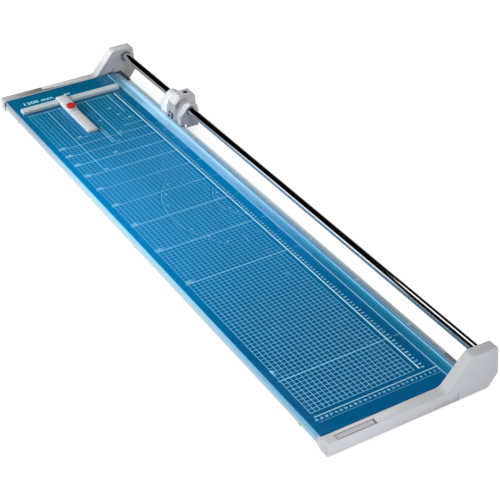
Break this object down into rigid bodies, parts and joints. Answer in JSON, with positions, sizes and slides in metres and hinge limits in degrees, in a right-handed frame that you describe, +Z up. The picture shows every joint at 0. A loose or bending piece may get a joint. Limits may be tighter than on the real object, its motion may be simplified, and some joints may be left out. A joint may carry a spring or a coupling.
{
  "type": "rotary paper trimmer",
  "caption": "Long table-top rotary paper trimmer with a sliding cutting head on a chrome rail, clear pressure strip, gridded table and sliding stop.",
  "frame": {"origin": "middle of the trimmer's outline on the floor, at the height the feet stand on", "axes": "+X across the table from the fence side to the rail, +Y along the cut from the near end to the far end, +Z up"},
  "size_m": [0.368, 1.4934, 0.093],
  "materials": {
    "blue_enamel": "glossy blue enamel with a pale printed grid",
    "grey_plastic": "fine matt light grey",
    "head_plastic": "satin light grey",
    "dark_plastic": "dark matt",
    "bearing_plastic": "smooth off-white bearing plastic",
    "chrome": "hard chromed and polished",
    "ground_steel": "ground along its length",
    "zinc_steel": "zinc plated",
    "black_rubber": "matt black",
    "grey_rubber": "matt mid grey",
    "clear_plastic": "clear, slightly blue plastic",
    "stop_plastic": "satin warm light grey",
    "red_plastic": "satin red",
    "label_film": "blank matt label"
  },
  "bodies": {
    "root": {"table_top": "blue_enamel", "lower_knife": "ground_steel", "knife_screw_1": "zinc_steel", "knife_screw_2": "zinc_steel", "knife_screw_3": "zinc_steel", "knife_screw_4": "zinc_steel", "knife_screw_5": "zinc_steel", "knife_screw_6": "zinc_steel", "knife_screw_7": "zinc_steel", "knife_screw_8": "zinc_steel", "knife_end_block_near": "dark_plastic", "knife_end_block_far": "dark_plastic", "near_end_housing": "grey_plastic", "far_end_housing": "grey_plastic", "near_end_bracket": "zinc_steel", "far_end_bracket": "zinc_steel", "bracket_screw_near_left": "zinc_steel", "bracket_screw_near_right": "zinc_steel", "bracket_screw_far_left": "zinc_steel", "bracket_screw_far_right": "zinc_steel", "guide_rail": "chrome", "rail_screw_near": "zinc_steel", "rail_screw_far": "zinc_steel", "rail_buffer_near": "grey_rubber", "rail_buffer_far": "grey_rubber", "fence_bar": "stop_plastic", "fence_screw_left": "zinc_steel", "fence_screw_right": "zinc_steel", "foot_near_left": "black_rubber", "foot_near_right": "black_rubber", "foot_middle_left": "black_rubber", "foot_middle_right": "black_rubber", "foot_far_left": "black_rubber", "foot_far_right": "black_rubber", "label_plate": "label_film", "strip_spring_near": "zinc_steel", "strip_spring_far": "zinc_steel"},
    "strip": {"pressure_strip": "clear_plastic"},
    "head": {"head_shell": "head_plastic", "head_end_cover_near": "head_plastic", "head_end_cover_far": "head_plastic", "rail_bush_near": "bearing_plastic", "rail_bush_far": "bearing_plastic", "blade_carriage": "dark_plastic", "blade_axle": "zinc_steel", "blade_spring": "zinc_steel", "head_screw": "zinc_steel", "roller_pin": "zinc_steel"},
    "blade": {"rotary_blade": "ground_steel", "blade_hub": "dark_plastic"},
    "roller": {"press_roller": "chrome"},
    "stop": {"stop_arm": "stop_plastic", "stop_head": "stop_plastic", "stop_screw_left": "zinc_steel", "stop_screw_right": "zinc_steel", "button_spring": "zinc_steel"},
    "button": {"lock_button": "red_plastic"},
    "shoe": {"clamp_shoe": "dark_plastic"}
  },
  "joints": [
    {"name": "strip_press", "type": "slide", "parent": "root", "child": "strip", "axis": [0, 0, 1], "range_m": [-0.0011, 0], "stiffness_N_per_m": 600, "deforming": ["strip_spring_near", "strip_spring_far"]},
    {"name": "head_slide", "type": "slide", "parent": "root", "child": "head", "axis": [0, 1, 0], "range_m": [-1.076, 0.2475]},
    {"name": "blade_spin", "type": "hinge", "parent": "head", "child": "blade", "pos_m": [0.1375, 0.412, 0.0515], "axis": [1, 0, 0], "continuous": true},
    {"name": "roller_spin", "type": "hinge", "parent": "head", "child": "roller", "pos_m": [0.12275, 0.412, 0.0424], "axis": [1, 0, 0], "continuous": true},
    {"name": "stop_slide", "type": "slide", "parent": "root", "child": "stop", "axis": [1, 0, 0], "range_m": [-0.093, 0.135]},
    {"name": "button_press", "type": "slide", "parent": "stop", "child": "button", "axis": [0, 0, 1], "range_m": [-0.003, 0], "stiffness_N_per_m": 300, "deforming": ["button_spring"]},
    {"name": "shoe_slide", "type": "slide", "parent": "stop", "child": "shoe", "axis": [0, 1, 0], "range_m": [-0.0008, 0]}
  ],
  "couplings": [
    {"joint": "blade_spin", "follows": "head_slide", "rad_per_m": -44.444},
    {"joint": "roller_spin", "follows": "head_slide", "rad_per_m": -142.86},
    {"joint": "shoe_slide", "follows": "button_press", "ratio": 0.2667}
  ]
}
